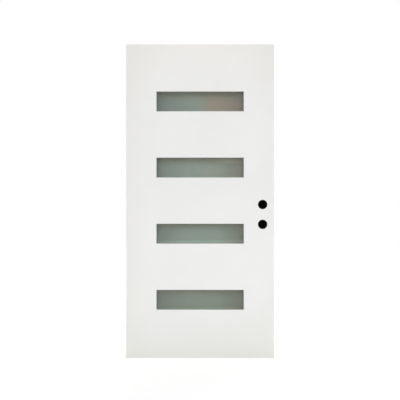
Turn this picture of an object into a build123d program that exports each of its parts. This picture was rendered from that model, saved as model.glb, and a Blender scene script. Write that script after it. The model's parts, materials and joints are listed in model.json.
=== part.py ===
from build123d import *
import os
from math import atan, cos, radians, sin, tan

# An entrance door leaf, all lengths in millimetres. Two moulded skins close over a
# timber edge frame, a lock block and a foam core, and their glazing rims clamp four
# sealed glass units. X runs from the hinge edge to the lock edge, Y from the exterior
# face to the interior face, and Z up from the bottom edge.

os.makedirs("parts", exist_ok=True)

# leaf
door_width = 908.0  # on the interior face
door_height = 1919.0
door_thickness = 44.45
lock_bevel = 2.8  # how much narrower the exterior face is
skin_thickness = 2.0
skin_edge_radius = 0.8

# edge frame
stile_width = 33.0
top_rail_height = 33.0
bottom_rail_height = 57.0

# lites
lite_count = 4
lite_side_margin = 185.1  # door edge to lite on the exterior face
lite_top_margin = 288.0
lite_bottom_margin = 294.0
lite_height = 122.0
reveal_depth = 9.5  # face of the door to the glass
reveal_draft = 3.0  # degrees, the moulded reveal narrows towards the glass
lite_edge_radius = 1.5
rim_width = 7.0  # land that presses on the glass
seal_thickness = 1.5
seal_setback = 0.8
pane_thickness = 4.0
pane_arris = 0.5
glass_bite = 12.0  # glass hidden behind the rim on each side
spacer_width = 7.0
spacer_setback = 0.5  # spacer behind the sight line
spacer_channel_depth = 0.8  # rolled channel along the sight line
spacer_shoulder = 3.5  # flat on each side of the channel
spacer_chamfer = 2.0
unit_clearance = 2.0  # room round the glass unit, taken up below by the setting blocks
setting_block_length = 60.0
setting_block_spread = 270.0  # between the two blocks of a lite
surround_thickness = 12.0

# lock preparation
backset = 69.85  # lock edge of the exterior face to the bore axis
lockset_height = 817.5
bore_spacing = 121.5
bore_diameter = 54.0
latch_bore_diameter = 22.2
faceplate_width = 25.4
faceplate_height = 57.2
faceplate_depth = 3.2
faceplate_corner = 6.35
lock_block_cover = 30.0  # timber between the bores and the core
lock_block_reach = 92.0  # timber above and below the bores

# hinge seats
hinge_top_offset = 228.6  # top of the door to the top hinge
hinge_bottom_offset = 330.2
hinge_height = 101.6
hinge_margin = 6.35  # timber left on the exterior side
hinge_depth = 2.5
hinge_corner = 15.9

# positions that follow from the sizes above
half_thickness = door_thickness / 2
half_core = half_thickness - skin_thickness
outer_width = door_width - lock_bevel
inner_stile_x = door_width - stile_width
rail_length = inner_stile_x - stile_width
lite_width = outer_width - 2 * lite_side_margin
lite_pitch = (door_height - lite_top_margin - lite_bottom_margin - lite_height) / (lite_count - 1)
top_lite_z = door_height - lite_top_margin - lite_height / 2
lite_centres = [(outer_width / 2, top_lite_z - number * lite_pitch) for number in range(lite_count)]
rim_depth = reveal_depth - seal_thickness
rim_end = half_thickness - rim_depth
glass_face = half_thickness - reveal_depth
glass_back = glass_face - pane_thickness
seal_growth = seal_setback - rim_depth * tan(radians(reveal_draft))
spacer_growth = spacer_setback + spacer_width
surround_growth = glass_bite + unit_clearance
lock_edge_x = door_width - lock_bevel / 2
bore_x = outer_width - backset
deadbolt_height = lockset_height + bore_spacing
bore_heights = [lockset_height, deadbolt_height]
lock_block_width = inner_stile_x - bore_x + bore_diameter / 2 + lock_block_cover
lock_block_height = bore_spacing + bore_diameter + 2 * lock_block_reach
lock_block_place = (inner_stile_x - lock_block_width / 2, lockset_height + bore_spacing / 2)
hinge_top_z = door_height - hinge_top_offset
hinge_heights = [hinge_top_z, (hinge_top_z + hinge_bottom_offset) / 2, hinge_bottom_offset]
hinge_sketch_width = door_thickness - hinge_margin + hinge_corner
hinge_sketch_middle = half_thickness - hinge_margin - hinge_sketch_width / 2

# planes of the two edges, each with its outward normal
bevel = atan(lock_bevel / door_thickness)
hinge_edge = Plane(origin=(0, 0, 0), x_dir=(0, -1, 0), z_dir=(-1, 0, 0))
lock_edge = Plane(
    origin=(lock_edge_x, 0, 0),
    x_dir=(sin(bevel), cos(bevel), 0),
    z_dir=(cos(bevel), -sin(bevel), 0),
)

# outlines of the cuts that pass through more than one piece
with BuildSketch(Plane.XZ) as lock_bores:
    with Locations(*[(bore_x, height) for height in bore_heights]):
        Circle(bore_diameter / 2)

with BuildSketch(Plane.YZ.offset(door_width)) as latch_bores:
    with Locations(*[(0, height) for height in bore_heights]):
        Circle(latch_bore_diameter / 2)

with BuildSketch(lock_edge) as faceplates:
    with Locations(*[(0, height) for height in bore_heights]):
        RectangleRounded(faceplate_width, faceplate_height, faceplate_corner)

with BuildSketch(hinge_edge) as hinge_seats:
    with Locations(*[(hinge_sketch_middle, height) for height in hinge_heights]):
        RectangleRounded(hinge_sketch_width, hinge_height, hinge_corner)

# exterior skin, with a glazing rim moulded round each lite
with BuildPart() as exterior_skin:
    with BuildSketch(Plane.XZ.offset(half_core)):
        Rectangle(door_width, door_height, align=(Align.MIN, Align.MIN))
    extrude(amount=skin_thickness)
    split(bisect_by=lock_edge, keep=Keep.BOTTOM)
    with BuildSketch(Plane.XZ.offset(rim_end)):
        with Locations(*lite_centres):
            Rectangle(lite_width + 2 * rim_width, lite_height + 2 * rim_width)
    extrude(amount=rim_depth - skin_thickness)
    with BuildSketch(Plane.XZ.offset(half_thickness)):
        with Locations(*lite_centres):
            Rectangle(lite_width, lite_height)
    extrude(amount=-rim_depth, taper=reveal_draft, mode=Mode.SUBTRACT)
    outer_face = exterior_skin.faces().sort_by(Axis.Y)[0]
    lite_edges = [edge for wire in outer_face.inner_wires() for edge in wire.edges()]
    fillet(lite_edges, lite_edge_radius)
    outer_face = exterior_skin.faces().sort_by(Axis.Y)[0]
    fillet(outer_face.outer_wire().edges(), skin_edge_radius)
    extrude(lock_bores.sketch, amount=door_thickness, both=True, mode=Mode.SUBTRACT)
exterior_skin.part.label = "exterior_skin"
export_step(exterior_skin.part, "parts/exterior_skin.step")

# interior skin, notched where the hinge leaves slide in
with BuildPart() as interior_skin:
    with BuildSketch(Plane.XZ.offset(-half_core)):
        Rectangle(door_width, door_height, align=(Align.MIN, Align.MIN))
    extrude(amount=-skin_thickness)
    split(bisect_by=lock_edge, keep=Keep.BOTTOM)
    with BuildSketch(Plane.XZ.offset(-rim_end)):
        with Locations(*lite_centres):
            Rectangle(lite_width + 2 * rim_width, lite_height + 2 * rim_width)
    extrude(amount=skin_thickness - rim_depth)
    with BuildSketch(Plane.XZ.offset(-half_thickness)):
        with Locations(*lite_centres):
            Rectangle(lite_width, lite_height)
    extrude(amount=rim_depth, taper=reveal_draft, mode=Mode.SUBTRACT)
    inner_face = interior_skin.faces().sort_by(Axis.Y)[-1]
    lite_edges = [edge for wire in inner_face.inner_wires() for edge in wire.edges()]
    fillet(lite_edges, lite_edge_radius)
    inner_face = interior_skin.faces().sort_by(Axis.Y)[-1]
    fillet(inner_face.outer_wire().edges(), skin_edge_radius)
    extrude(lock_bores.sketch, amount=door_thickness, both=True, mode=Mode.SUBTRACT)
    extrude(hinge_seats.sketch, amount=-hinge_depth, mode=Mode.SUBTRACT)
interior_skin.part.label = "interior_skin"
export_step(interior_skin.part, "parts/interior_skin.step")

# hinge stile
with BuildPart() as hinge_stile:
    with BuildSketch(Plane.XY):
        Rectangle(stile_width, 2 * half_core, align=(Align.MIN, Align.CENTER))
    extrude(amount=door_height)
    extrude(hinge_seats.sketch, amount=-hinge_depth, mode=Mode.SUBTRACT)
hinge_stile.part.label = "hinge_stile"
export_step(hinge_stile.part, "parts/hinge_stile.step")

# lock stile, with a bevelled edge, the faceplate seats and the latch bores
with BuildPart() as lock_stile:
    with BuildSketch(Plane.XY):
        with Locations((inner_stile_x, 0)):
            Rectangle(stile_width, 2 * half_core, align=(Align.MIN, Align.CENTER))
    extrude(amount=door_height)
    split(bisect_by=lock_edge, keep=Keep.BOTTOM)
    extrude(faceplates.sketch, amount=-faceplate_depth, mode=Mode.SUBTRACT)
    extrude(latch_bores.sketch, amount=bore_x - door_width, mode=Mode.SUBTRACT)
lock_stile.part.label = "lock_stile"
export_step(lock_stile.part, "parts/lock_stile.step")

# top and bottom rails between the stiles
with BuildPart() as top_rail:
    with BuildSketch(Plane.XY.offset(door_height)):
        with Locations((stile_width, 0)):
            Rectangle(rail_length, 2 * half_core, align=(Align.MIN, Align.CENTER))
    extrude(amount=-top_rail_height)
top_rail.part.label = "top_rail"
export_step(top_rail.part, "parts/top_rail.step")

with BuildPart() as bottom_rail:
    with BuildSketch(Plane.XY):
        with Locations((stile_width, 0)):
            Rectangle(rail_length, 2 * half_core, align=(Align.MIN, Align.CENTER))
    extrude(amount=bottom_rail_height)
bottom_rail.part.label = "bottom_rail"
export_step(bottom_rail.part, "parts/bottom_rail.step")

# lock block, bored from both faces and from the lock edge
with BuildPart() as lock_block:
    with BuildSketch(Plane.XZ):
        with Locations(lock_block_place):
            Rectangle(lock_block_width, lock_block_height)
    extrude(amount=half_core, both=True)
    extrude(lock_bores.sketch, amount=door_thickness, both=True, mode=Mode.SUBTRACT)
    extrude(latch_bores.sketch, amount=bore_x - door_width, mode=Mode.SUBTRACT)
lock_block.part.label = "lock_block"
export_step(lock_block.part, "parts/lock_block.step")

# foam core, shaped round the lock block and the lites
with BuildPart() as foam_core:
    with BuildSketch(Plane.XZ):
        with Locations((stile_width, bottom_rail_height)):
            Rectangle(
                rail_length,
                door_height - top_rail_height - bottom_rail_height,
                align=(Align.MIN, Align.MIN),
            )
        with Locations(lock_block_place):
            Rectangle(lock_block_width, lock_block_height, mode=Mode.SUBTRACT)
        with Locations(*lite_centres):
            Rectangle(
                lite_width + 2 * (surround_growth + surround_thickness),
                lite_height + 2 * (surround_growth + surround_thickness),
                mode=Mode.SUBTRACT,
            )
    extrude(amount=half_core, both=True)
foam_core.part.label = "foam_core"
export_step(foam_core.part, "parts/foam_core.step")

# each lite, numbered from the top
for number, centre in enumerate(lite_centres, start=1):
    with BuildPart() as surround:
        with BuildSketch(Plane.XZ):
            with Locations(centre):
                Rectangle(
                    lite_width + 2 * (surround_growth + surround_thickness),
                    lite_height + 2 * (surround_growth + surround_thickness),
                )
                Rectangle(
                    lite_width + 2 * surround_growth,
                    lite_height + 2 * surround_growth,
                    mode=Mode.SUBTRACT,
                )
        extrude(amount=half_core, both=True)
    surround.part.label = f"lite_{number}_surround"
    export_step(surround.part, f"parts/lite_{number}_surround.step")

    with BuildPart() as outer_seal:
        with BuildSketch(Plane.XZ.offset(glass_face)):
            with Locations(centre):
                Rectangle(lite_width + 2 * rim_width, lite_height + 2 * rim_width)
                Rectangle(lite_width + 2 * seal_growth, lite_height + 2 * seal_growth, mode=Mode.SUBTRACT)
        extrude(amount=seal_thickness)
    outer_seal.part.label = f"lite_{number}_outer_seal"
    export_step(outer_seal.part, f"parts/lite_{number}_outer_seal.step")

    with BuildPart() as inner_seal:
        with BuildSketch(Plane.XZ.offset(-glass_face)):
            with Locations(centre):
                Rectangle(lite_width + 2 * rim_width, lite_height + 2 * rim_width)
                Rectangle(lite_width + 2 * seal_growth, lite_height + 2 * seal_growth, mode=Mode.SUBTRACT)
        extrude(amount=-seal_thickness)
    inner_seal.part.label = f"lite_{number}_inner_seal"
    export_step(inner_seal.part, f"parts/lite_{number}_inner_seal.step")

    with BuildPart() as outer_pane:
        with BuildSketch(Plane.XZ.offset(glass_back)):
            with Locations(centre):
                Rectangle(lite_width + 2 * glass_bite, lite_height + 2 * glass_bite)
        extrude(amount=pane_thickness)
        chamfer(outer_pane.faces().filter_by(Axis.Y).edges(), pane_arris)
    outer_pane.part.label = f"lite_{number}_outer_pane"
    export_step(outer_pane.part, f"parts/lite_{number}_outer_pane.step")

    with BuildPart() as inner_pane:
        with BuildSketch(Plane.XZ.offset(-glass_back)):
            with Locations(centre):
                Rectangle(lite_width + 2 * glass_bite, lite_height + 2 * glass_bite)
        extrude(amount=-pane_thickness)
        chamfer(inner_pane.faces().filter_by(Axis.Y).edges(), pane_arris)
    inner_pane.part.label = f"lite_{number}_inner_pane"
    export_step(inner_pane.part, f"parts/lite_{number}_inner_pane.step")

    with BuildPart() as spacer:
        with BuildSketch(Plane.XZ):
            with Locations(centre):
                Rectangle(lite_width + 2 * spacer_growth, lite_height + 2 * spacer_growth)
                Rectangle(
                    lite_width + 2 * spacer_setback,
                    lite_height + 2 * spacer_setback,
                    mode=Mode.SUBTRACT,
                )
        extrude(amount=glass_back, both=True)
        back_edges = [face.outer_wire().edges() for face in spacer.faces().filter_by(Axis.Y)]
        chamfer([edge for edges in back_edges for edge in edges], spacer_chamfer)
        with BuildSketch(Plane.XZ):
            with Locations(centre):
                Rectangle(
                    lite_width + 2 * (spacer_setback + spacer_channel_depth),
                    lite_height + 2 * (spacer_setback + spacer_channel_depth),
                )
        extrude(amount=glass_back - spacer_shoulder, both=True, mode=Mode.SUBTRACT)
    spacer.part.label = f"lite_{number}_spacer"
    export_step(spacer.part, f"parts/lite_{number}_spacer.step")

    with BuildPart() as edge_seal:
        with BuildSketch(Plane.XZ):
            with Locations(centre):
                Rectangle(lite_width + 2 * glass_bite, lite_height + 2 * glass_bite)
                Rectangle(
                    lite_width + 2 * spacer_growth,
                    lite_height + 2 * spacer_growth,
                    mode=Mode.SUBTRACT,
                )
        extrude(amount=glass_back, both=True)
    edge_seal.part.label = f"lite_{number}_edge_seal"
    export_step(edge_seal.part, f"parts/lite_{number}_edge_seal.step")

    unit_foot = centre[1] - lite_height / 2 - glass_bite
    for side, shift in (("left", -setting_block_spread / 2), ("right", setting_block_spread / 2)):
        with BuildPart() as setting_block:
            with BuildSketch(Plane.XY.offset(unit_foot)):
                with Locations((centre[0] + shift, 0)):
                    Rectangle(setting_block_length, 2 * glass_face)
            extrude(amount=-unit_clearance)
        setting_block.part.label = f"lite_{number}_{side}_block"
        export_step(setting_block.part, f"parts/lite_{number}_{side}_block.step")
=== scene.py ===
import json
from math import cos, pi, radians, sin

import bpy
from mathutils import Matrix, Vector


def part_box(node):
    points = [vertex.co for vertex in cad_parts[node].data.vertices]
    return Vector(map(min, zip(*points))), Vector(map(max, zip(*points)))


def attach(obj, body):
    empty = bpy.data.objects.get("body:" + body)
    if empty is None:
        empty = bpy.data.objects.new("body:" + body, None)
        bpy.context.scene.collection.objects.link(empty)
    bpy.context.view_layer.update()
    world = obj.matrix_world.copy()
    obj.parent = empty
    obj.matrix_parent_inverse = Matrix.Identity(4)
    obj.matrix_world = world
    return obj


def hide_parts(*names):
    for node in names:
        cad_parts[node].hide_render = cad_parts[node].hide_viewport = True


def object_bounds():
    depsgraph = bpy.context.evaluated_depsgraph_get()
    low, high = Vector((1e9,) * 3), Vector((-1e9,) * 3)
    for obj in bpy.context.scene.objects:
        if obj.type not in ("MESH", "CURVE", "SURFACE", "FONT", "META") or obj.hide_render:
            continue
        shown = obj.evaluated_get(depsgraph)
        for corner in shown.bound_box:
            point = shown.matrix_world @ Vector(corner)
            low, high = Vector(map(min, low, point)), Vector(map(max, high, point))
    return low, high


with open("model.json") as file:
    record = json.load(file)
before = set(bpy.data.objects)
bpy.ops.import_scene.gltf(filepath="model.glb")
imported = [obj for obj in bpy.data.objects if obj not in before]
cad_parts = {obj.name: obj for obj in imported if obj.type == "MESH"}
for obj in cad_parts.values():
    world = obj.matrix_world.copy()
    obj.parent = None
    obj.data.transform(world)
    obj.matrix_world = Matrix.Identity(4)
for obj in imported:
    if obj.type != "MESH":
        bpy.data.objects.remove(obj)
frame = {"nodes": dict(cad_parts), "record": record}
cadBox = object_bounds()
scene = bpy.context.scene
liteNumbers = [1, 2, 3, 4]  # counted from the top

# places read from the frame
skinLow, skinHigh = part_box("exterior_skin")
outerFace = skinLow.y
doorMiddle = (skinLow + skinHigh) / 2
doorHalf = (skinHigh - skinLow) / 2
paneBoxes = [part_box(f"lite_{number}_inner_pane") for number in liteNumbers]
paneMiddles = [(low + high) / 2 for low, high in paneBoxes]
paneHalf = (paneBoxes[0][1] - paneBoxes[0][0]) / 2
litePitch = paneMiddles[0].z - paneMiddles[1].z
mounts = {mount["name"]: mount for mount in frame["record"]["mounts"]}
boreMounts = [mounts["lockset_bore"], mounts["deadbolt_bore"]]
boreCentres = [Vector(mount["pos_m"]) for mount in boreMounts]
boreRadius = boreMounts[0]["dims"]["r_mm"] / 1000
print("frame read:", len(frame["nodes"]), "nodes")


# node helpers

noiseRange = (0.3, 0.7)  # where most values of a noise texture lie
mixInputs = (0, 6, 7)  # factor and the two colours of a colour mix
mixOutput = 2  # the mixed colour
white = (1.0, 1.0, 1.0)
halfFacing = 0.5  # share of a normal that tells faces along an axis from the others


def newMaterial(name):
    material = bpy.data.materials.new(name)
    material.use_nodes = True
    tree = material.node_tree
    tree.nodes.clear()
    output = tree.nodes.new("ShaderNodeOutputMaterial")
    shader = tree.nodes.new("ShaderNodeBsdfPrincipled")
    tree.links.new(shader.outputs["BSDF"], output.inputs["Surface"])
    return material, tree, shader


def feed(tree, socket, value):
    if isinstance(value, bpy.types.NodeSocket):
        tree.links.new(value, socket)
    elif socket.type == "RGBA":
        socket.default_value = (*value, 1.0)
    else:
        socket.default_value = value


def addNode(tree, kind, inputs=None, **settings):
    node = tree.nodes.new(kind)
    for key, value in settings.items():
        setattr(node, key, value)
    for key, value in (inputs or {}).items():
        feed(tree, node.inputs[key], value)
    return node


def objectPoint(tree):
    return addNode(tree, "ShaderNodeTexCoord").outputs["Object"]


def split(tree, vector):
    node = addNode(tree, "ShaderNodeSeparateXYZ", {"Vector": vector})
    return node.outputs["X"], node.outputs["Y"], node.outputs["Z"]


def facingUp(tree):
    normal = addNode(tree, "ShaderNodeNewGeometry").outputs["Normal"]
    return maths(tree, "ABSOLUTE", split(tree, normal)[2])


def stretched(tree, scale):
    mapping = addNode(tree, "ShaderNodeMapping", {"Vector": objectPoint(tree), "Scale": scale})
    return mapping.outputs["Vector"]


def noise(tree, vector, size, detail=3.0, rough=0.55, bend=0.0, seed=None):
    values = {
        "Vector": vector,
        "Scale": 1 / size,
        "Detail": detail,
        "Roughness": rough,
        "Distortion": bend,
    }
    dimensions = "3D"
    if seed is not None:
        values["W"] = seed
        dimensions = "4D"
    return addNode(tree, "ShaderNodeTexNoise", values, noise_dimensions=dimensions).outputs["Fac"]


def cells(tree, vector, size):
    return addNode(tree, "ShaderNodeTexVoronoi", {"Vector": vector, "Scale": 1 / size})


def mapRange(tree, value, source, target, smooth=True):
    names = ("Value", "From Min", "From Max", "To Min", "To Max")
    values = dict(zip(names, (value, *source, *target)))
    kind = "SMOOTHSTEP" if smooth else "LINEAR"
    return addNode(tree, "ShaderNodeMapRange", values, interpolation_type=kind).outputs["Result"]


def spread(tree, value, target):
    return mapRange(tree, value, noiseRange, target)


def maths(tree, operation, first, second=None):
    values = {0: first} if second is None else {0: first, 1: second}
    return addNode(tree, "ShaderNodeMath", values, operation=operation).outputs["Value"]


def times(tree, first, second):
    return maths(tree, "MULTIPLY", first, second)


def plus(tree, first, second):
    return maths(tree, "ADD", first, second)


def minus(tree, first, second):
    return maths(tree, "SUBTRACT", first, second)


def over(tree, first, second):
    return maths(tree, "DIVIDE", first, second)


def distance(tree, across, up):
    squares = plus(tree, times(tree, across, across), times(tree, up, up))
    return maths(tree, "SQRT", squares)


def mixColours(tree, factor, first, second, blend="MIX"):
    values = dict(zip(mixInputs, (factor, first, second)))
    return addNode(tree, "ShaderNodeMix", values, data_type="RGBA", blend_type=blend).outputs[mixOutput]


def dimmed(tree, colour, level):
    grey = addNode(tree, "ShaderNodeCombineColor", {"Red": level, "Green": level, "Blue": level})
    return mixColours(tree, 1.0, colour, grey.outputs["Color"], "MULTIPLY")


def bump(tree, shader, height, depth, strength=0.5):
    node = addNode(tree, "ShaderNodeBump", {"Height": height, "Strength": strength, "Distance": depth})
    feed(tree, shader.inputs["Normal"], node.outputs["Normal"])


def dress(names, material):
    for name in names:
        node = frame["nodes"][name]
        node.data.materials.clear()
        node.data.materials.append(material)


# white painted skins
paint = {
    "colour": (0.825, 0.826, 0.815),
    "cloudColour": (0.806, 0.804, 0.788),  # faint warm clouds
    "cloudSize": 0.42,
    "cloudRange": (0.38, 0.68),
    "hingeShadeColour": (0.79, 0.785, 0.76),  # painted shade towards the hinge edge
    "hingeReach": 0.19,
    "hingeShadeShare": 0.95,
    "headShadeColour": (0.82, 0.805, 0.775),  # painted shade, a little darker and warmer under the top edge
    "headReach": 0.40,
    "headShadeShare": 0.7,
    "footShadeColour": (0.736, 0.736, 0.702),  # painted shade, darker and warmer towards the foot
    "footReach": 0.50,
    "footShadeRise": 2.5,  # how steeply the painted shade rises towards the foot
    "cornerShadeColour": (0.74, 0.735, 0.70),  # painted shade, darker towards the corners
    "cornerRange": (0.95, 1.4),  # 1 at the middle of an edge, 1.41 at a corner
    "cornerShadeShare": 0.5,
    "roughness": (0.37, 0.50),
    "rubSize": 0.02,
    "rubStretch": (1.0, 1.0, 0.3),
    "peelSize": 0.0022,  # orange peel of the sprayed coat
    "peelDepth": 0.00005,
    "peelStrength": 0.6,
    "darkRingColour": (0.012, 0.011, 0.010),  # dark ring round the lock holes, on the exterior face
    "darkRingReach": 0.0018,  # how far it reaches on to the face
    "darkRingFade": 0.0016,  # how far it fades on both sides of the ring's edge
    "darkRingDepth": 0.0001,  # it stays out of the holes
    "darkRingRoughness": 0.9,
}


def darkRingShare(tree, point):
    x, y, z = split(tree, point)
    ways = []
    for centre in boreCentres:
        ways.append(distance(tree, minus(tree, x, centre.x), minus(tree, z, centre.z)))
    lip = boreRadius + paint["darkRingReach"]
    fade = (lip - paint["darkRingFade"], lip + paint["darkRingFade"])
    near = mapRange(tree, maths(tree, "MINIMUM", *ways), fade, (1.0, 0.0))
    onFace = maths(tree, "LESS_THAN", y, outerFace + paint["darkRingDepth"])
    return times(tree, near, onFace)


def makePaint():
    material, tree, shader = newMaterial("satinWhitePaint")
    point = objectPoint(tree)
    x, _, z = split(tree, point)
    cloud = mapRange(tree, noise(tree, point, paint["cloudSize"]), paint["cloudRange"], (0.0, 1.0))
    colour = mixColours(tree, cloud, paint["colour"], paint["cloudColour"])
    # painted shade, darker towards the hinge edge
    nearHinge = mapRange(tree, x, (0.0, paint["hingeReach"]), (paint["hingeShadeShare"], 0.0))
    colour = mixColours(tree, nearHinge, colour, paint["hingeShadeColour"])
    # painted shade under the top edge
    headHeights = (skinHigh.z - paint["headReach"], skinHigh.z)
    nearHead = mapRange(tree, z, headHeights, (0.0, paint["headShadeShare"]))
    colour = mixColours(tree, nearHead, colour, paint["headShadeColour"])
    # painted shade towards the foot
    nearFoot = mapRange(tree, z, (0.0, paint["footReach"]), (1.0, 0.0), smooth=False)
    nearFoot = maths(tree, "POWER", nearFoot, paint["footShadeRise"])
    colour = mixColours(tree, nearFoot, colour, paint["footShadeColour"])
    # painted shade towards the corners
    across = over(tree, minus(tree, x, doorMiddle.x), doorHalf.x)
    up = over(tree, minus(tree, z, doorMiddle.z), doorHalf.z)
    outward = distance(tree, across, up)
    nearCorner = mapRange(tree, outward, paint["cornerRange"], (0.0, paint["cornerShadeShare"]))
    colour = mixColours(tree, nearCorner, colour, paint["cornerShadeColour"])
    # dark ring round the lock holes on the exterior face
    darkRing = darkRingShare(tree, point)
    colour = mixColours(tree, darkRing, colour, paint["darkRingColour"])
    feed(tree, shader.inputs["Base Color"], colour)
    rub = noise(tree, stretched(tree, paint["rubStretch"]), paint["rubSize"], detail=5.0)
    gloss = spread(tree, rub, paint["roughness"])
    gloss = maths(tree, "MAXIMUM", gloss, times(tree, darkRing, paint["darkRingRoughness"]))
    feed(tree, shader.inputs["Roughness"], gloss)
    peel = noise(tree, point, paint["peelSize"], detail=2.0)
    bump(tree, shader, peel, paint["peelDepth"], paint["peelStrength"])
    return material


# laminated veneer of the stiles and the lock block, its plies stacked through the thickness
veneer = {
    "paleColour": (0.60, 0.41, 0.225),
    "darkColour": (0.42, 0.25, 0.12),
    "toneRange": (0.36, 0.66),
    "plyThickness": 0.0031,
    "plyShade": (1.0, 0.70),  # from the palest ply to the darkest
    "glueColour": (0.15, 0.08, 0.04),
    "glueThickness": 0.00035,
    "glueShare": 0.85,
    "fibreSize": 0.0011,
    "fibreStretch": (1.0, 1.0, 0.03),
    "fibreShare": 0.55,  # of the tone, the figure has the rest
    "fibreDepth": 0.00025,
    "figureSize": 0.05,
    "figureStretch": (1.0, 1.0, 0.12),
    "endRange": (0.6, 0.8),
    "endShade": 0.74,  # end grain is darker
    "roughness": (0.58, 0.78),
}


def makeVeneer():
    material, tree, shader = newMaterial("laminatedVeneer")
    y = split(tree, objectPoint(tree))[1]
    number = maths(tree, "FLOOR", over(tree, y, veneer["plyThickness"]))
    ply = addNode(tree, "ShaderNodeTexWhiteNoise", {"W": number}, noise_dimensions="1D")
    along = stretched(tree, veneer["fibreStretch"])
    fibres = noise(tree, along, veneer["fibreSize"], detail=5.0, rough=0.6, bend=0.3, seed=number)
    drawn = stretched(tree, veneer["figureStretch"])
    figure = noise(tree, drawn, veneer["figureSize"], detail=4.0, rough=0.6, bend=1.0, seed=number)
    fibrePart = times(tree, fibres, veneer["fibreShare"])
    tone = plus(tree, fibrePart, times(tree, figure, 1.0 - veneer["fibreShare"]))
    tone = mapRange(tree, tone, veneer["toneRange"], (0.0, 1.0))
    colour = mixColours(tree, tone, veneer["paleColour"], veneer["darkColour"])
    plyShade = mapRange(tree, ply.outputs["Value"], (0.0, 1.0), veneer["plyShade"], smooth=False)
    colour = dimmed(tree, colour, plyShade)
    toGlue = maths(tree, "PINGPONG", y, veneer["plyThickness"] / 2)
    glueLine = (veneer["glueThickness"] / 2, veneer["glueThickness"])
    glue = mapRange(tree, toGlue, glueLine, (veneer["glueShare"], 0.0))
    colour = mixColours(tree, glue, colour, veneer["glueColour"])
    endGrain = mapRange(tree, facingUp(tree), veneer["endRange"], (1.0, veneer["endShade"]))
    colour = dimmed(tree, colour, endGrain)
    feed(tree, shader.inputs["Base Color"], colour)
    feed(tree, shader.inputs["Roughness"], spread(tree, fibres, veneer["roughness"]))
    bump(tree, shader, minus(tree, fibres, glue), veneer["fibreDepth"])
    return material


# solid pine of the top rail, its rings round an axis below the rail
pine = {
    "earlyColour": (0.66, 0.47, 0.26),
    "lateColour": (0.44, 0.255, 0.11),
    "lateRise": 2.2,  # how sharply late wood ends
    "lateRange": (0.15, 0.95),
    "lateShare": 0.8,
    "heartAcross": 0.006,
    "heartDrop": 0.085,
    "ringPitch": 0.0042,
    "wander": 0.010,
    "wanderSize": 0.05,
    "wanderStretch": (0.16, 1.0, 1.0),
    "fibreSize": 0.0010,
    "fibreStretch": (0.03, 1.0, 1.0),
    "fibreShade": (1.06, 0.82),
    "roughness": (0.54, 0.76),
    "ringRelief": 0.4,
    "depth": 0.0002,
}


def makePine():
    material, tree, shader = newMaterial("planedPine")
    _, y, z = split(tree, objectPoint(tree))
    across = minus(tree, y, pine["heartAcross"])
    up = minus(tree, z, skinHigh.z - pine["heartDrop"])
    wander = noise(tree, stretched(tree, pine["wanderStretch"]), pine["wanderSize"])
    radius = plus(tree, distance(tree, across, up), times(tree, wander, pine["wander"]))
    ring = maths(tree, "FRACT", over(tree, radius, pine["ringPitch"]))
    ring = maths(tree, "POWER", ring, pine["lateRise"])
    late = mapRange(tree, ring, pine["lateRange"], (0.0, pine["lateShare"]))
    colour = mixColours(tree, late, pine["earlyColour"], pine["lateColour"])
    along = stretched(tree, pine["fibreStretch"])
    fibres = noise(tree, along, pine["fibreSize"], detail=5.0, rough=0.6)
    colour = dimmed(tree, colour, spread(tree, fibres, pine["fibreShade"]))
    feed(tree, shader.inputs["Base Color"], colour)
    feed(tree, shader.inputs["Roughness"], spread(tree, fibres, pine["roughness"]))
    bump(tree, shader, plus(tree, fibres, times(tree, late, pine["ringRelief"])), pine["depth"])
    return material


# moulded composite of the bottom rail
composite = {
    "colour": (0.34, 0.29, 0.235),
    "fleckColour": (0.52, 0.45, 0.35),
    "fleckRange": (0.68, 0.9),
    "fleckShare": 0.8,
    "darkColour": (0.17, 0.14, 0.11),
    "darkRange": (0.3, 0.12),
    "darkShare": 0.7,
    "fleckSize": 0.0032,
    "mouldSize": 0.004,
    "mouldShade": (1.08, 0.86),
    "stretch": (0.35, 1.0, 1.0),
    "roughness": (0.68, 0.8),
    "depth": 0.0003,
}


def makeComposite():
    material, tree, shader = newMaterial("fibreComposite")
    along = stretched(tree, composite["stretch"])
    tone = split(tree, cells(tree, along, composite["fleckSize"]).outputs["Color"])[0]
    pale = mapRange(tree, tone, composite["fleckRange"], (0.0, composite["fleckShare"]))
    colour = mixColours(tree, pale, composite["colour"], composite["fleckColour"])
    dark = mapRange(tree, tone, composite["darkRange"], (0.0, composite["darkShare"]))
    colour = mixColours(tree, dark, colour, composite["darkColour"])
    mould = noise(tree, along, composite["mouldSize"], detail=5.0)
    colour = dimmed(tree, colour, spread(tree, mould, composite["mouldShade"]))
    feed(tree, shader.inputs["Base Color"], colour)
    feed(tree, shader.inputs["Roughness"], spread(tree, mould, composite["roughness"]))
    bump(tree, shader, mould, composite["depth"])
    return material


# pored stock of the pieces inside the leaf
stocks = {
    "rigidFoam": {
        "colour": (0.74, 0.58, 0.29),
        "shade": 0.78,
        "size": 0.0016,
        "roughness": (0.84, 0.96),
        "depth": 0.0006,
    },
    "foamedPlastic": {
        "colour": (0.56, 0.56, 0.545),
        "shade": 0.86,
        "size": 0.003,
        "roughness": (0.54, 0.66),
        "depth": 0.0002,
    },
    "blackSealant": {
        "colour": (0.03, 0.03, 0.032),
        "shade": 0.7,
        "size": 0.006,
        "roughness": (0.44, 0.56),
        "depth": 0.0004,
    },
    "neoprene": {
        "colour": (0.045, 0.045, 0.045),
        "shade": 0.75,
        "size": 0.0012,
        "roughness": (0.64, 0.76),
        "depth": 0.0002,
    },
}
pores = {
    "size": 0.7,  # against the stock's grain
    "share": 0.25,
    "range": (0.4, 0.95),
}


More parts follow.
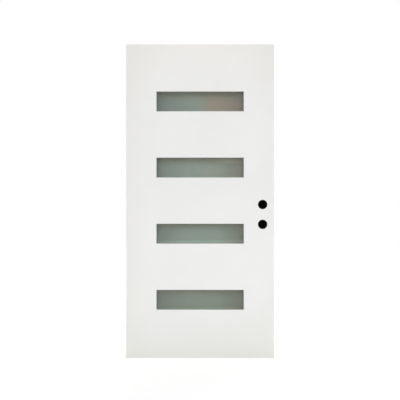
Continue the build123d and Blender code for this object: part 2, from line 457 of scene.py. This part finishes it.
def makeStock(name):
    stock = stocks[name]
    material, tree, shader = newMaterial(name)
    point = objectPoint(tree)
    grain = noise(tree, point, stock["size"], detail=5.0, rough=0.62)
    poreDistance = cells(tree, point, stock["size"] * pores["size"]).outputs["Distance"]
    level = plus(tree, grain, times(tree, poreDistance, pores["share"]))
    level = mapRange(tree, level, pores["range"], (1.0, stock["shade"]))
    feed(tree, shader.inputs["Base Color"], dimmed(tree, stock["colour"], level))
    feed(tree, shader.inputs["Roughness"], spread(tree, grain, stock["roughness"]))
    bump(tree, shader, minus(tree, grain, poreDistance), stock["depth"])
    return material


# outer panes of the sealed glass units
clearGlass = {
    "colour": (0.93, 0.97, 0.95),
    "index": 1.5,
    "smearSize": 0.06,
    "smearRange": (0.45, 0.75),
    "roughness": (0.005, 0.03),
}


def makeClearGlass():
    material, tree, shader = newMaterial("clearFloatGlass")
    feed(tree, shader.inputs["Base Color"], clearGlass["colour"])
    feed(tree, shader.inputs["Transmission Weight"], 1.0)
    feed(tree, shader.inputs["IOR"], clearGlass["index"])
    smear = noise(tree, objectPoint(tree), clearGlass["smearSize"], detail=4.0)
    gloss = mapRange(tree, smear, clearGlass["smearRange"], clearGlass["roughness"])
    feed(tree, shader.inputs["Roughness"], gloss)
    # light for the pieces behind goes straight through
    path = addNode(tree, "ShaderNodeLightPath")
    passing = addNode(tree, "ShaderNodeBsdfTransparent", {"Color": clearGlass["colour"]})
    shares = {0: path.outputs["Is Shadow Ray"], 1: shader.outputs["BSDF"], 2: passing.outputs["BSDF"]}
    mix = addNode(tree, "ShaderNodeMixShader", shares)
    feed(tree, tree.get_output_node("ALL").inputs["Surface"], mix.outputs["Shader"])
    return material


# inner panes, etched on their outward side
frost = {
    "colour": (0.214, 0.259, 0.219),
    "warmReflectionColour": (0.330, 0.238, 0.160),  # painted reflection, warm, on the right half of the top lite
    "warmReflectionShare": 0.85,
    "secondReflectionShare": 0.2,  # share of the painted reflection in the second lite against the top one
    "warmEdge": (-0.045, 0.09),  # across the lite's middle
    "oliveShadeColour": (0.217, 0.207, 0.115),  # painted shade under the head and at the right end of a lite
    "headRange": (0.1, 0.8),  # 0 at a lite's middle, 1 at its head
    "headShadeShare": 0.74,
    "rightStart": 0.3,  # 0 at a lite's middle, 1 at its end
    "rightShadeShare": 0.6,
    "endStart": 0.2,
    "endShade": 0.66,  # towards the ends of a lite
    "leftRange": (-0.72, -0.97),  # -1 at a lite's left end
    "leftShadeLoss": 0.22,  # painted shade, the left end of the two upper lites darker still
    "topShade": 0.87,  # the top lite against the middle ones
    "bottomShade": 0.845,
    "bottomShadeShare": 0.22,  # painted shade, the bottom lite a little olive all over
    "footRange": (-0.55, -0.63),  # -1 at a lite's foot
    "footGlow": 0.10,  # painted light over the foot of each lite
    "lowFootGlow": 0.45,  # and of the two lower ones
    "bottomFootDrop": 0.15,  # the bottom lite's painted light is narrower
    "glint": 0.52,  # painted highlight on the upper right of the second lite
    "glintHeights": (0.22, 0.6),  # 1 at its head
    "glintRange": (0.25, 0.65),  # 1 at its right end
    "grainSize": 0.0005,
    "grainShade": (0.94, 1.06),
    "grainDepth": 0.00012,
    "grainStrength": 0.4,
    "streakSize": 0.016,
    "streakStretch": (1.0, 1.0, 0.12),
    "streakShade": (0.96, 1.04),
    "roughness": (0.46, 0.60),
}


def betweenLites(tree, z, lower, upper, target):
    heights = (paneMiddles[lower - 1].z, paneMiddles[upper - 1].z)
    return mapRange(tree, z, heights, target)


def tintFrost(tree, x, z, height):
    fromMiddle = minus(tree, x, paneMiddles[0].x)
    rightEnd = (paneHalf.x * frost["rightStart"], paneHalf.x)
    # painted shade at the right end of a lite
    atRight = mapRange(tree, fromMiddle, rightEnd, (0.0, frost["rightShadeShare"]))
    colour = mixColours(tree, atRight, frost["colour"], frost["oliveShadeColour"])
    # warm painted reflection on the right of the two upper lites
    inTop = betweenLites(tree, z, 2, 1, (frost["secondReflectionShare"], 1.0))
    inUpper = times(tree, inTop, betweenLites(tree, z, 3, 2, (0.0, 1.0)))
    onRight = mapRange(tree, fromMiddle, frost["warmEdge"], (0.0, frost["warmReflectionShare"]))
    colour = mixColours(tree, times(tree, inUpper, onRight), colour, frost["warmReflectionColour"])
    # painted shade over the bottom lite
    inBottom = betweenLites(tree, z, 4, 3, (frost["bottomShadeShare"], 0.0))
    colour = mixColours(tree, inBottom, colour, frost["oliveShadeColour"])
    # painted shade under the head of each lite
    atHead = mapRange(tree, height, frost["headRange"], (0.0, frost["headShadeShare"]))
    return mixColours(tree, atHead, colour, frost["oliveShadeColour"])


def shadeEnds(tree, x, z, height):
    # painted shade towards the ends of each lite
    across = over(tree, minus(tree, x, paneMiddles[0].x), paneHalf.x)
    toEnd = maths(tree, "ABSOLUTE", across)
    ends = mapRange(tree, toEnd, (frost["endStart"], 1.0), (1.0, frost["endShade"]))
    inUpper = betweenLites(tree, z, 3, 2, (0.0, 1.0))
    atLeft = mapRange(tree, across, frost["leftRange"], (0.0, frost["leftShadeLoss"]))
    left = minus(tree, 1.0, times(tree, inUpper, atLeft))
    # painted highlight on the upper right of the second lite
    inSecond = minus(tree, inUpper, betweenLites(tree, z, 2, 1, (0.0, 1.0)))
    atHead = mapRange(tree, height, frost["glintHeights"], (0.0, 1.0))
    atRight = mapRange(tree, across, frost["glintRange"], (0.0, frost["glint"]))
    right = plus(tree, times(tree, inSecond, times(tree, atHead, atRight)), 1.0)
    return times(tree, ends, times(tree, left, right))


def shadeHeights(tree, z, height):
    # painted shade on the top and bottom lites and painted light over the foot of each lite
    upper = betweenLites(tree, z, 2, 1, (1.0, frost["topShade"]))
    lower = betweenLites(tree, z, 4, 3, (frost["bottomShade"], 1.0))
    glow = betweenLites(tree, z, 3, 2, (frost["lowFootGlow"], frost["footGlow"]))
    overFoot = plus(tree, height, betweenLites(tree, z, 4, 3, (frost["bottomFootDrop"], 0.0)))
    atFoot = mapRange(tree, overFoot, frost["footRange"], (0.0, 1.0))
    foot = plus(tree, times(tree, atFoot, glow), 1.0)
    return times(tree, foot, times(tree, upper, lower))


def makeFrostedGlass():
    material, tree, shader = newMaterial("etchedGlass")
    point = objectPoint(tree)
    x, _, z = split(tree, point)
    steps = over(tree, minus(tree, z, paneMiddles[-1].z), litePitch)
    fromLite = minus(tree, steps, maths(tree, "ROUND", steps))
    height = times(tree, fromLite, litePitch / paneHalf.z)  # 0 at a lite's middle
    # painted light and shade of the lites
    shade = times(tree, shadeEnds(tree, x, z, height), shadeHeights(tree, z, height))
    colour = dimmed(tree, tintFrost(tree, x, z, height), shade)
    streaks = noise(tree, stretched(tree, frost["streakStretch"]), frost["streakSize"])
    colour = dimmed(tree, colour, spread(tree, streaks, frost["streakShade"]))
    grain = noise(tree, point, frost["grainSize"], detail=2.0)
    colour = dimmed(tree, colour, spread(tree, grain, frost["grainShade"]))
    feed(tree, shader.inputs["Base Color"], colour)
    feed(tree, shader.inputs["Roughness"], spread(tree, grain, frost["roughness"]))
    feed(tree, shader.inputs["IOR"], clearGlass["index"])
    bump(tree, shader, grain, frost["grainDepth"], frost["grainStrength"])
    return material


# rolled aluminium of the spacer bars, with its rows of breathing holes, their insides drawn as painted
# shade
aluminium = {
    "colour": (0.60, 0.61, 0.61),
    "holeShadeColour": (0.03, 0.03, 0.03),
    "holePitch": 0.004,
    "holeHalf": 0.0006,
    "holeCore": 0.7,  # the fully dark share of a hole
    "holeSquash": 0.6,  # slots longer than wide
    "rowSpread": 0.0022,
    "brushSize": 0.0006,
    "brushStretch": (0.1, 1.0, 0.1),
    "brushShade": (1.05, 0.88),
    "roughness": (0.36, 0.50),
    "depth": 0.0001,
}


def makeAluminium():
    material, tree, shader = newMaterial("rolledAluminium")
    x, y, z = split(tree, objectPoint(tree))
    level = maths(tree, "GREATER_THAN", facingUp(tree), halfFacing)
    upright = minus(tree, 1.0, level)
    length = plus(tree, times(tree, x, level), times(tree, z, upright))
    toHole = maths(tree, "PINGPONG", length, aluminium["holePitch"] / 2)
    toRow = minus(tree, maths(tree, "ABSOLUTE", y), aluminium["rowSpread"])
    toHole = times(tree, toHole, aluminium["holeSquash"])
    near = maths(tree, "MAXIMUM", toHole, maths(tree, "ABSOLUTE", toRow))
    holeEdge = (aluminium["holeHalf"] * aluminium["holeCore"], aluminium["holeHalf"])
    # painted shade inside the breathing holes
    hole = mapRange(tree, near, holeEdge, (1.0, 0.0))
    along = stretched(tree, aluminium["brushStretch"])
    brushed = noise(tree, along, aluminium["brushSize"], detail=4.0)
    colour = dimmed(tree, aluminium["colour"], spread(tree, brushed, aluminium["brushShade"]))
    feed(tree, shader.inputs["Base Color"], mixColours(tree, hole, colour, aluminium["holeShadeColour"]))
    feed(tree, shader.inputs["Metallic"], 1.0)
    feed(tree, shader.inputs["Roughness"], spread(tree, brushed, aluminium["roughness"]))
    bump(tree, shader, minus(tree, brushed, hole), aluminium["depth"])
    return material


# tooled silicone of the glazing beads
silicone = {
    "colour": (0.18, 0.185, 0.17),
    "smearColour": (0.135, 0.14, 0.125),
    "smearSize": 0.03,
    "smearRange": (0.4, 0.7),
    "roughness": (0.42, 0.55),
    "rippleSize": 0.004,
    "rippleDepth": 0.0003,
    "rippleStrength": 0.4,
}


def makeSilicone():
    material, tree, shader = newMaterial("tooledSilicone")
    point = objectPoint(tree)
    smear = noise(tree, point, silicone["smearSize"], detail=4.0)
    share = mapRange(tree, smear, silicone["smearRange"], (0.0, 1.0))
    colour = mixColours(tree, share, silicone["colour"], silicone["smearColour"])
    feed(tree, shader.inputs["Base Color"], colour)
    feed(tree, shader.inputs["Roughness"], spread(tree, smear, silicone["roughness"]))
    ripple = noise(tree, point, silicone["rippleSize"], detail=2.0)
    bump(tree, shader, ripple, silicone["rippleDepth"], silicone["rippleStrength"])
    return material


def eachLite(*pieces):
    return [f"lite_{number}_{piece}" for number in liteNumbers for piece in pieces]


rolledAluminium = makeAluminium()
tooledSilicone = makeSilicone()
dress(["exterior_skin", "interior_skin"], makePaint())
dress(["hinge_stile", "lock_stile", "lock_block"], makeVeneer())
dress(["top_rail"], makePine())
dress(["bottom_rail"], makeComposite())
dress(["foam_core"], makeStock("rigidFoam"))
dress(eachLite("outer_pane"), makeClearGlass())
dress(eachLite("inner_pane"), makeFrostedGlass())
dress(eachLite("surround"), makeStock("foamedPlastic"))
dress(eachLite("edge_seal"), makeStock("blackSealant"))
dress(eachLite("left_block", "right_block"), makeStock("neoprene"))
print("CAD nodes dressed")


# modelling helpers

def beginPlane(name, middle, width, height):
    bpy.ops.object.select_all(action="DESELECT")
    bpy.ops.mesh.primitive_plane_add(size=1.0, location=middle, rotation=(pi / 2, 0, 0))
    piece = bpy.context.object
    piece.name = name
    piece.scale = (width, height, 1.0)
    bpy.ops.object.transform_apply(location=True, rotation=True, scale=True)
    bpy.ops.object.mode_set(mode="EDIT")
    bpy.ops.mesh.select_mode(type="FACE")
    bpy.ops.mesh.select_all(action="SELECT")
    return piece


def pick(piece, kind, test):
    bpy.ops.object.mode_set(mode="OBJECT")
    mesh = piece.data
    for group in (mesh.vertices, mesh.edges, mesh.polygons):
        group.foreach_set("select", [False] * len(group))
    for item in getattr(mesh, kind):
        item.select = test(item)
    modes = [kind == name for name in ("vertices", "edges", "polygons")]
    bpy.context.tool_settings.mesh_select_mode = modes
    bpy.ops.object.mode_set(mode="EDIT")


def faceOutwards():
    bpy.ops.mesh.select_all(action="SELECT")
    bpy.ops.mesh.normals_make_consistent(inside=False)


def finishPiece(piece, material):
    faceOutwards()
    bpy.ops.object.mode_set(mode="OBJECT")
    piece.data.materials.append(material)


def copyPiece(piece, name, change):
    twin = piece.copy()
    twin.data = piece.data.copy()
    twin.name = name
    twin.data.transform(change)
    scene.collection.objects.link(twin)
    return twin


def turnOutwards(piece):
    bpy.ops.object.select_all(action="DESELECT")
    bpy.context.view_layer.objects.active = piece
    piece.select_set(True)
    bpy.ops.object.mode_set(mode="EDIT")
    faceOutwards()
    bpy.ops.object.mode_set(mode="OBJECT")


# spacer bar round each glass unit: a rolled ring with a channel along its sight line
spacerBar = {
    "width": 0.007,
    "shoulder": 0.0035,
    "channelDepth": 0.0008,
    "backChamfer": 0.002,
    "rollRadius": 0.0004,
    "rollSteps": 2,
    "smoothAngle": 35.0,  # degrees
}


def modelSpacerBar():
    low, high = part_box("lite_1_spacer")
    middle = (low + high) / 2
    size = high - low
    piece = beginPlane("lite_1_spacerBar", (middle.x, low.y, middle.z), size.x, size.z)
    bpy.ops.mesh.inset(thickness=spacerBar["width"])
    bpy.ops.mesh.delete(type="FACE")
    bpy.ops.mesh.select_all(action="SELECT")
    bpy.ops.mesh.extrude_region_move(TRANSFORM_OT_translate={"value": (0, size.y, 0)})

    def outside(point):
        offset = point - middle
        return max(abs(offset.x) - size.x / 2, abs(offset.z) - size.z / 2) > -spacerBar["width"] / 2

    def backEdge(edge):
        first, second = (piece.data.vertices[index].co for index in edge.vertices)
        return outside(first) and outside(second) and abs(first.y - second.y) < size.y / 2

    def sightFace(face):
        return abs(face.normal.y) < halfFacing and not outside(face.center)

    faceOutwards()
    pick(piece, "edges", backEdge)
    bpy.ops.mesh.bevel(offset=spacerBar["backChamfer"], segments=1, affect="EDGES")
    pick(piece, "polygons", sightFace)
    bpy.ops.mesh.inset(thickness=spacerBar["shoulder"], depth=-spacerBar["channelDepth"])
    finishPiece(piece, rolledAluminium)
    roll = piece.modifiers.new("roll", "BEVEL")
    roll.width = spacerBar["rollRadius"]
    roll.segments = spacerBar["rollSteps"]
    roll.limit_method = "ANGLE"
    bpy.ops.object.modifier_apply(modifier=roll.name)
    bpy.ops.object.shade_smooth_by_angle(angle=radians(spacerBar["smoothAngle"]))
    return piece


# glazing bead between the rim of a skin and its pane: a tape under the rim and a hollow fillet in sight
bead = {
    # steps between the loops, from the back of the tape inwards
    "insets": [0.00728, 0.00002, 0.00022, 0.00045, 0.00075, 0.0006],
    # height of each loop over the glass
    "heights": [0.0015, 0.0015, 0.0032, 0.0020, 0.0011, 0.00045, 0.0001],
    "loopTolerance": 0.000005,  # for picking the points of one loop
    "smoothAngle": 50.0,  # degrees
}


def modelBead():
    low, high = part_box("lite_1_outer_seal")
    middle = (low + high) / 2
    size = high - low
    onGlass = (middle.x, high.y, middle.z)
    piece = beginPlane("lite_1_outerBead", onGlass, size.x, size.z)
    for step in bead["insets"]:
        bpy.ops.mesh.inset(thickness=step)
    bpy.ops.mesh.delete(type="FACE")
    reach = 0.0

    def onLoop(vertex):
        inwards = size.x / 2 - abs(vertex.co.x - middle.x)
        return abs(inwards - reach) < bead["loopTolerance"]

    for height, step in zip(bead["heights"], bead["insets"] + [0.0]):
        pick(piece, "vertices", onLoop)
        bpy.ops.transform.translate(value=(0, -height, 0))
        reach += step
    bpy.ops.mesh.select_all(action="SELECT")
    bpy.ops.mesh.extrude_region_move(TRANSFORM_OT_translate={"value": (0, 0, 0)})
    # the copy lies flat on the glass
    bpy.ops.transform.resize(value=(1, 0, 1), center_override=onGlass)
    finishPiece(piece, tooledSilicone)
    bpy.ops.object.shade_smooth_by_angle(angle=radians(bead["smoothAngle"]))
    return piece


firstSpacer = modelSpacerBar()
firstBead = modelBead()
mirrorThrough = Matrix.Scale(-1, 4, (0, 1, 0))  # the interior side of the leaf
for number, paneMiddle in zip(liteNumbers, paneMiddles):
    drop = Matrix.Translation((0, 0, paneMiddle.z - paneMiddles[0].z))
    if number == 1:
        spacerPiece = firstSpacer
        outerBead = firstBead
    else:
        spacerPiece = copyPiece(firstSpacer, f"lite_{number}_spacerBar", drop)
        outerBead = copyPiece(firstBead, f"lite_{number}_outerBead", drop)
    innerBead = copyPiece(outerBead, f"lite_{number}_innerBead", mirrorThrough)
    turnOutwards(innerBead)
    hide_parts(f"lite_{number}_spacer")
    for beadPiece, node in ((outerBead, "outer_seal"), (innerBead, "inner_seal")):
        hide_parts(f"lite_{number}_{node}")
    for piece in (spacerPiece, outerBead, innerBead):
        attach(piece, "root")
print("glazing pieces modelled")


# camera square to the exterior face
view = {
    "distance": 2.3,
    "frameWidth": 2.4473,  # width of the picture at the door's face
    "aimRight": -0.0006,  # from the middle of the face
    "aimUp": 0.007,
    "sensor": 36.0,  # millimetres
}


def addCamera():
    data = bpy.data.cameras.new("doorCamera")
    data.sensor_width = view["sensor"]
    data.lens = view["sensor"] * view["distance"] / view["frameWidth"]
    camera = bpy.data.objects.new("doorCamera", data)
    camera.location = (
        doorMiddle.x + view["aimRight"],
        outerFace - view["distance"],
        doorMiddle.z + view["aimUp"],
    )
    camera.rotation_euler = (pi / 2, 0, 0)
    scene.collection.objects.link(camera)
    scene.camera = camera


# soft studio light
studio = {
    "skyLevel": 0.80,  # straight up
    "sideLevel": 0.50,  # at the horizon
    "groundLevel": 0.38,  # straight down
    "keyStrength": 1.27,
    "keyRise": 48.0,  # degrees
    "keyTurn": 10.0,  # degrees to the right of the camera
    "backStrength": 1.0,
    "backRise": 40.0,  # degrees
    "backTurn": 165.0,  # degrees
    "spread": 55.0,  # degrees across each lamp
    "lampDistance": 5.0,
}


def addSun(name, strength, rise, turn):
    data = bpy.data.lights.new(name, "SUN")
    data.energy = strength
    data.angle = radians(studio["spread"])
    lamp = bpy.data.objects.new(name, data)
    flat = cos(radians(rise))
    way = Vector((sin(radians(turn)) * flat, -cos(radians(turn)) * flat, sin(radians(rise))))
    lamp.location = doorMiddle + way * studio["lampDistance"]
    lamp.rotation_euler = (-way).to_track_quat("-Z", "Y").to_euler()
    scene.collection.objects.link(lamp)


def seenRays(tree):
    path = addNode(tree, "ShaderNodeLightPath")
    direct = maths(tree, "MAXIMUM", path.outputs["Is Camera Ray"], path.outputs["Is Glossy Ray"])
    return maths(tree, "MAXIMUM", direct, path.outputs["Is Transmission Ray"])


def makeWorld():
    world = bpy.data.worlds.new("studioWorld")
    world.use_nodes = True
    scene.world = world
    tree = world.node_tree
    tree.nodes.clear()
    up = split(tree, addNode(tree, "ShaderNodeTexCoord").outputs["Generated"])[2]
    above = mapRange(tree, up, (0.0, 1.0), (studio["sideLevel"], studio["skyLevel"]), smooth=False)
    lost = studio["groundLevel"] - studio["sideLevel"]
    below = mapRange(tree, up, (-1.0, 0.0), (lost, 0.0), smooth=False)
    level = plus(tree, above, below)
    light = addNode(tree, "ShaderNodeBackground", {"Color": white, "Strength": level})
    seen = addNode(tree, "ShaderNodeBackground", {"Color": white, "Strength": 1.0})
    shares = {0: seenRays(tree), 1: light.outputs["Background"], 2: seen.outputs["Background"]}
    mix = addNode(tree, "ShaderNodeMixShader", shares)
    addNode(tree, "ShaderNodeOutputWorld", {"Surface": mix.outputs["Shader"]})


# pale floor under the door
floor = {
    "colour": (0.86, 0.86, 0.86),
    "size": 10.0,
    "lift": 0.125,  # brings the lit floor up to white, in reflections too
    "dustSize": 0.5,
    "dustShade": (1.0, 0.985),
    "roughness": 0.9,
    "specular": 0.1,
}


def addFloor():
    bpy.ops.object.select_all(action="DESELECT")
    bpy.ops.mesh.primitive_plane_add(size=floor["size"], location=(doorMiddle.x, 0, cadBox[0][2]))
    plane = bpy.context.object
    plane.name = "studioFloor"
    material, tree, shader = newMaterial("paleFloor")
    dust = noise(tree, objectPoint(tree), floor["dustSize"])
    colour = dimmed(tree, floor["colour"], spread(tree, dust, floor["dustShade"]))
    feed(tree, shader.inputs["Base Color"], colour)
    feed(tree, shader.inputs["Roughness"], floor["roughness"])
    feed(tree, shader.inputs["Specular IOR Level"], floor["specular"])
    feed(tree, shader.inputs["Emission Color"], white)
    feed(tree, shader.inputs["Emission Strength"], times(tree, seenRays(tree), floor["lift"]))
    plane.data.materials.append(material)


# painted shade: black cards stand in the lock bores for the dark behind them, so that the white studio
# doesn't show through them
boreShadeCard = {
    "colour": (0.002, 0.002, 0.002),
    "setback": 0.0005,  # behind the exterior face
    "sides": 64,
    "weaveSize": 0.002,
    "weaveShade": (0.7, 1.3),
}


def addBoreCards():
    material, tree, shader = newMaterial("blackCard")
    weave = noise(tree, objectPoint(tree), boreShadeCard["weaveSize"])
    colour = dimmed(tree, boreShadeCard["colour"], spread(tree, weave, boreShadeCard["weaveShade"]))
    feed(tree, shader.inputs["Base Color"], colour)
    feed(tree, shader.inputs["Roughness"], 1.0)
    feed(tree, shader.inputs["Specular IOR Level"], 0.0)
    for number, centre in enumerate(boreCentres, 1):
        bpy.ops.object.select_all(action="DESELECT")
        bpy.ops.mesh.primitive_circle_add(
            vertices=boreShadeCard["sides"],
            radius=boreRadius,
            fill_type="NGON",
            location=(centre.x, outerFace + boreShadeCard["setback"], centre.z),
            rotation=(pi / 2, 0, 0),
        )
        card = bpy.context.object
        card.name = f"boreCard_{number}"
        card.data.materials.append(material)


addCamera()
addSun("keySun", studio["keyStrength"], studio["keyRise"], studio["keyTurn"])
addSun("backSun", studio["backStrength"], studio["backRise"], studio["backTurn"])
makeWorld()
addFloor()
addBoreCards()
scene.view_settings.view_transform = "Standard"
print("stage set")
